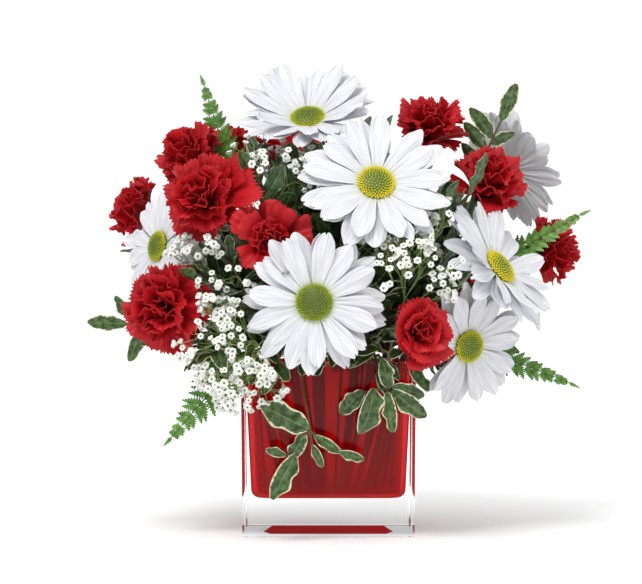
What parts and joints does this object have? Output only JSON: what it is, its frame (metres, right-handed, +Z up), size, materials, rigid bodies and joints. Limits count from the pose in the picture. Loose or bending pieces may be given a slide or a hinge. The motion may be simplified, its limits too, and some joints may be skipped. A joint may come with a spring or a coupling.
{
  "type": "carnations and daisies in a vase",
  "caption": "Bunch of white daisy chrysanthemums, red spray carnations, baby's breath and greenery standing in a square clear glass vase that is coated red inside.",
  "frame": {"origin": "middle of the vase's underside, on the surface it stands on", "axes": "+Z up, -Y towards the front of the arrangement, +X to its right as seen from the front"},
  "size_m": [0.3101, 0.2394, 0.2795],
  "materials": {
    "clear_glass": "gloss",
    "red_coating": "gloss",
    "white_petals": "matte",
    "daisy_green": "satin",
    "red_petals": "matte",
    "carnation_green": "satin",
    "variegated_leaf": "satin",
    "fern_green": "satin",
    "tiny_white_bloom": "matte"
  },
  "bodies": {
    "root": {"carnation_back_left_petals": "red_petals", "carnation_back_left_stem_and_calyx": "carnation_green", "carnation_back_petals": "red_petals", "carnation_back_right_petals": "red_petals", "carnation_back_right_stem_and_calyx": "carnation_green", "carnation_back_stem_and_calyx": "carnation_green", "carnation_centre_left_petals": "red_petals", "carnation_centre_left_stem_and_calyx": "carnation_green", "carnation_far_left_petals": "red_petals", "carnation_far_left_stem_and_calyx": "carnation_green", "carnation_far_right_petals": "red_petals", "carnation_far_right_stem_and_calyx": "carnation_green", "carnation_low_left_petals": "red_petals", "carnation_low_left_stem_and_calyx": "carnation_green", "carnation_low_right_petals": "red_petals", "carnation_low_right_stem_and_calyx": "carnation_green", "carnation_right_petals": "red_petals", "carnation_right_stem_and_calyx": "carnation_green", "carnation_top_left_petals": "red_petals", "carnation_top_left_stem_and_calyx": "carnation_green", "carnation_top_petals": "red_petals", "carnation_top_stem_and_calyx": "carnation_green", "carnation_upper_left_petals": "red_petals", "carnation_upper_left_stem_and_calyx": "carnation_green", "daisy_back_left_petals": "white_petals", "daisy_back_left_stem_and_disc": "daisy_green", "daisy_back_petals": "white_petals", "daisy_back_right_petals": "white_petals", "daisy_back_right_stem_and_disc": "daisy_green", "daisy_back_stem_and_disc": "daisy_green", "daisy_front_petals": "white_petals", "daisy_front_stem_and_disc": "daisy_green", "daisy_high_petals": "white_petals", "daisy_high_stem_and_disc": "daisy_green", "daisy_left_petals": "white_petals", "daisy_left_stem_and_disc": "daisy_green", "daisy_low_right_petals": "white_petals", "daisy_low_right_stem_and_disc": "daisy_green", "daisy_right_petals": "white_petals", "daisy_right_stem_and_disc": "daisy_green", "daisy_top_petals": "white_petals", "daisy_top_stem_and_disc": "daisy_green", "fern_back": "fern_green", "fern_low_left": "fern_green", "fern_low_right": "fern_green", "fern_right": "fern_green", "fern_top_left": "fern_green", "gypsophila_back": "tiny_white_bloom", "gypsophila_centre_right": "tiny_white_bloom", "gypsophila_left": "tiny_white_bloom", "gypsophila_low_left": "tiny_white_bloom", "gypsophila_upper_left": "tiny_white_bloom", "pittosporum_back": "variegated_leaf", "pittosporum_centre": "variegated_leaf", "pittosporum_front": "variegated_leaf", "pittosporum_left": "variegated_leaf", "pittosporum_low_right": "variegated_leaf", "pittosporum_top_right": "variegated_leaf", "vase_glass": "clear_glass", "vase_red_coating": "red_coating"}
  },
  "joints": []
}
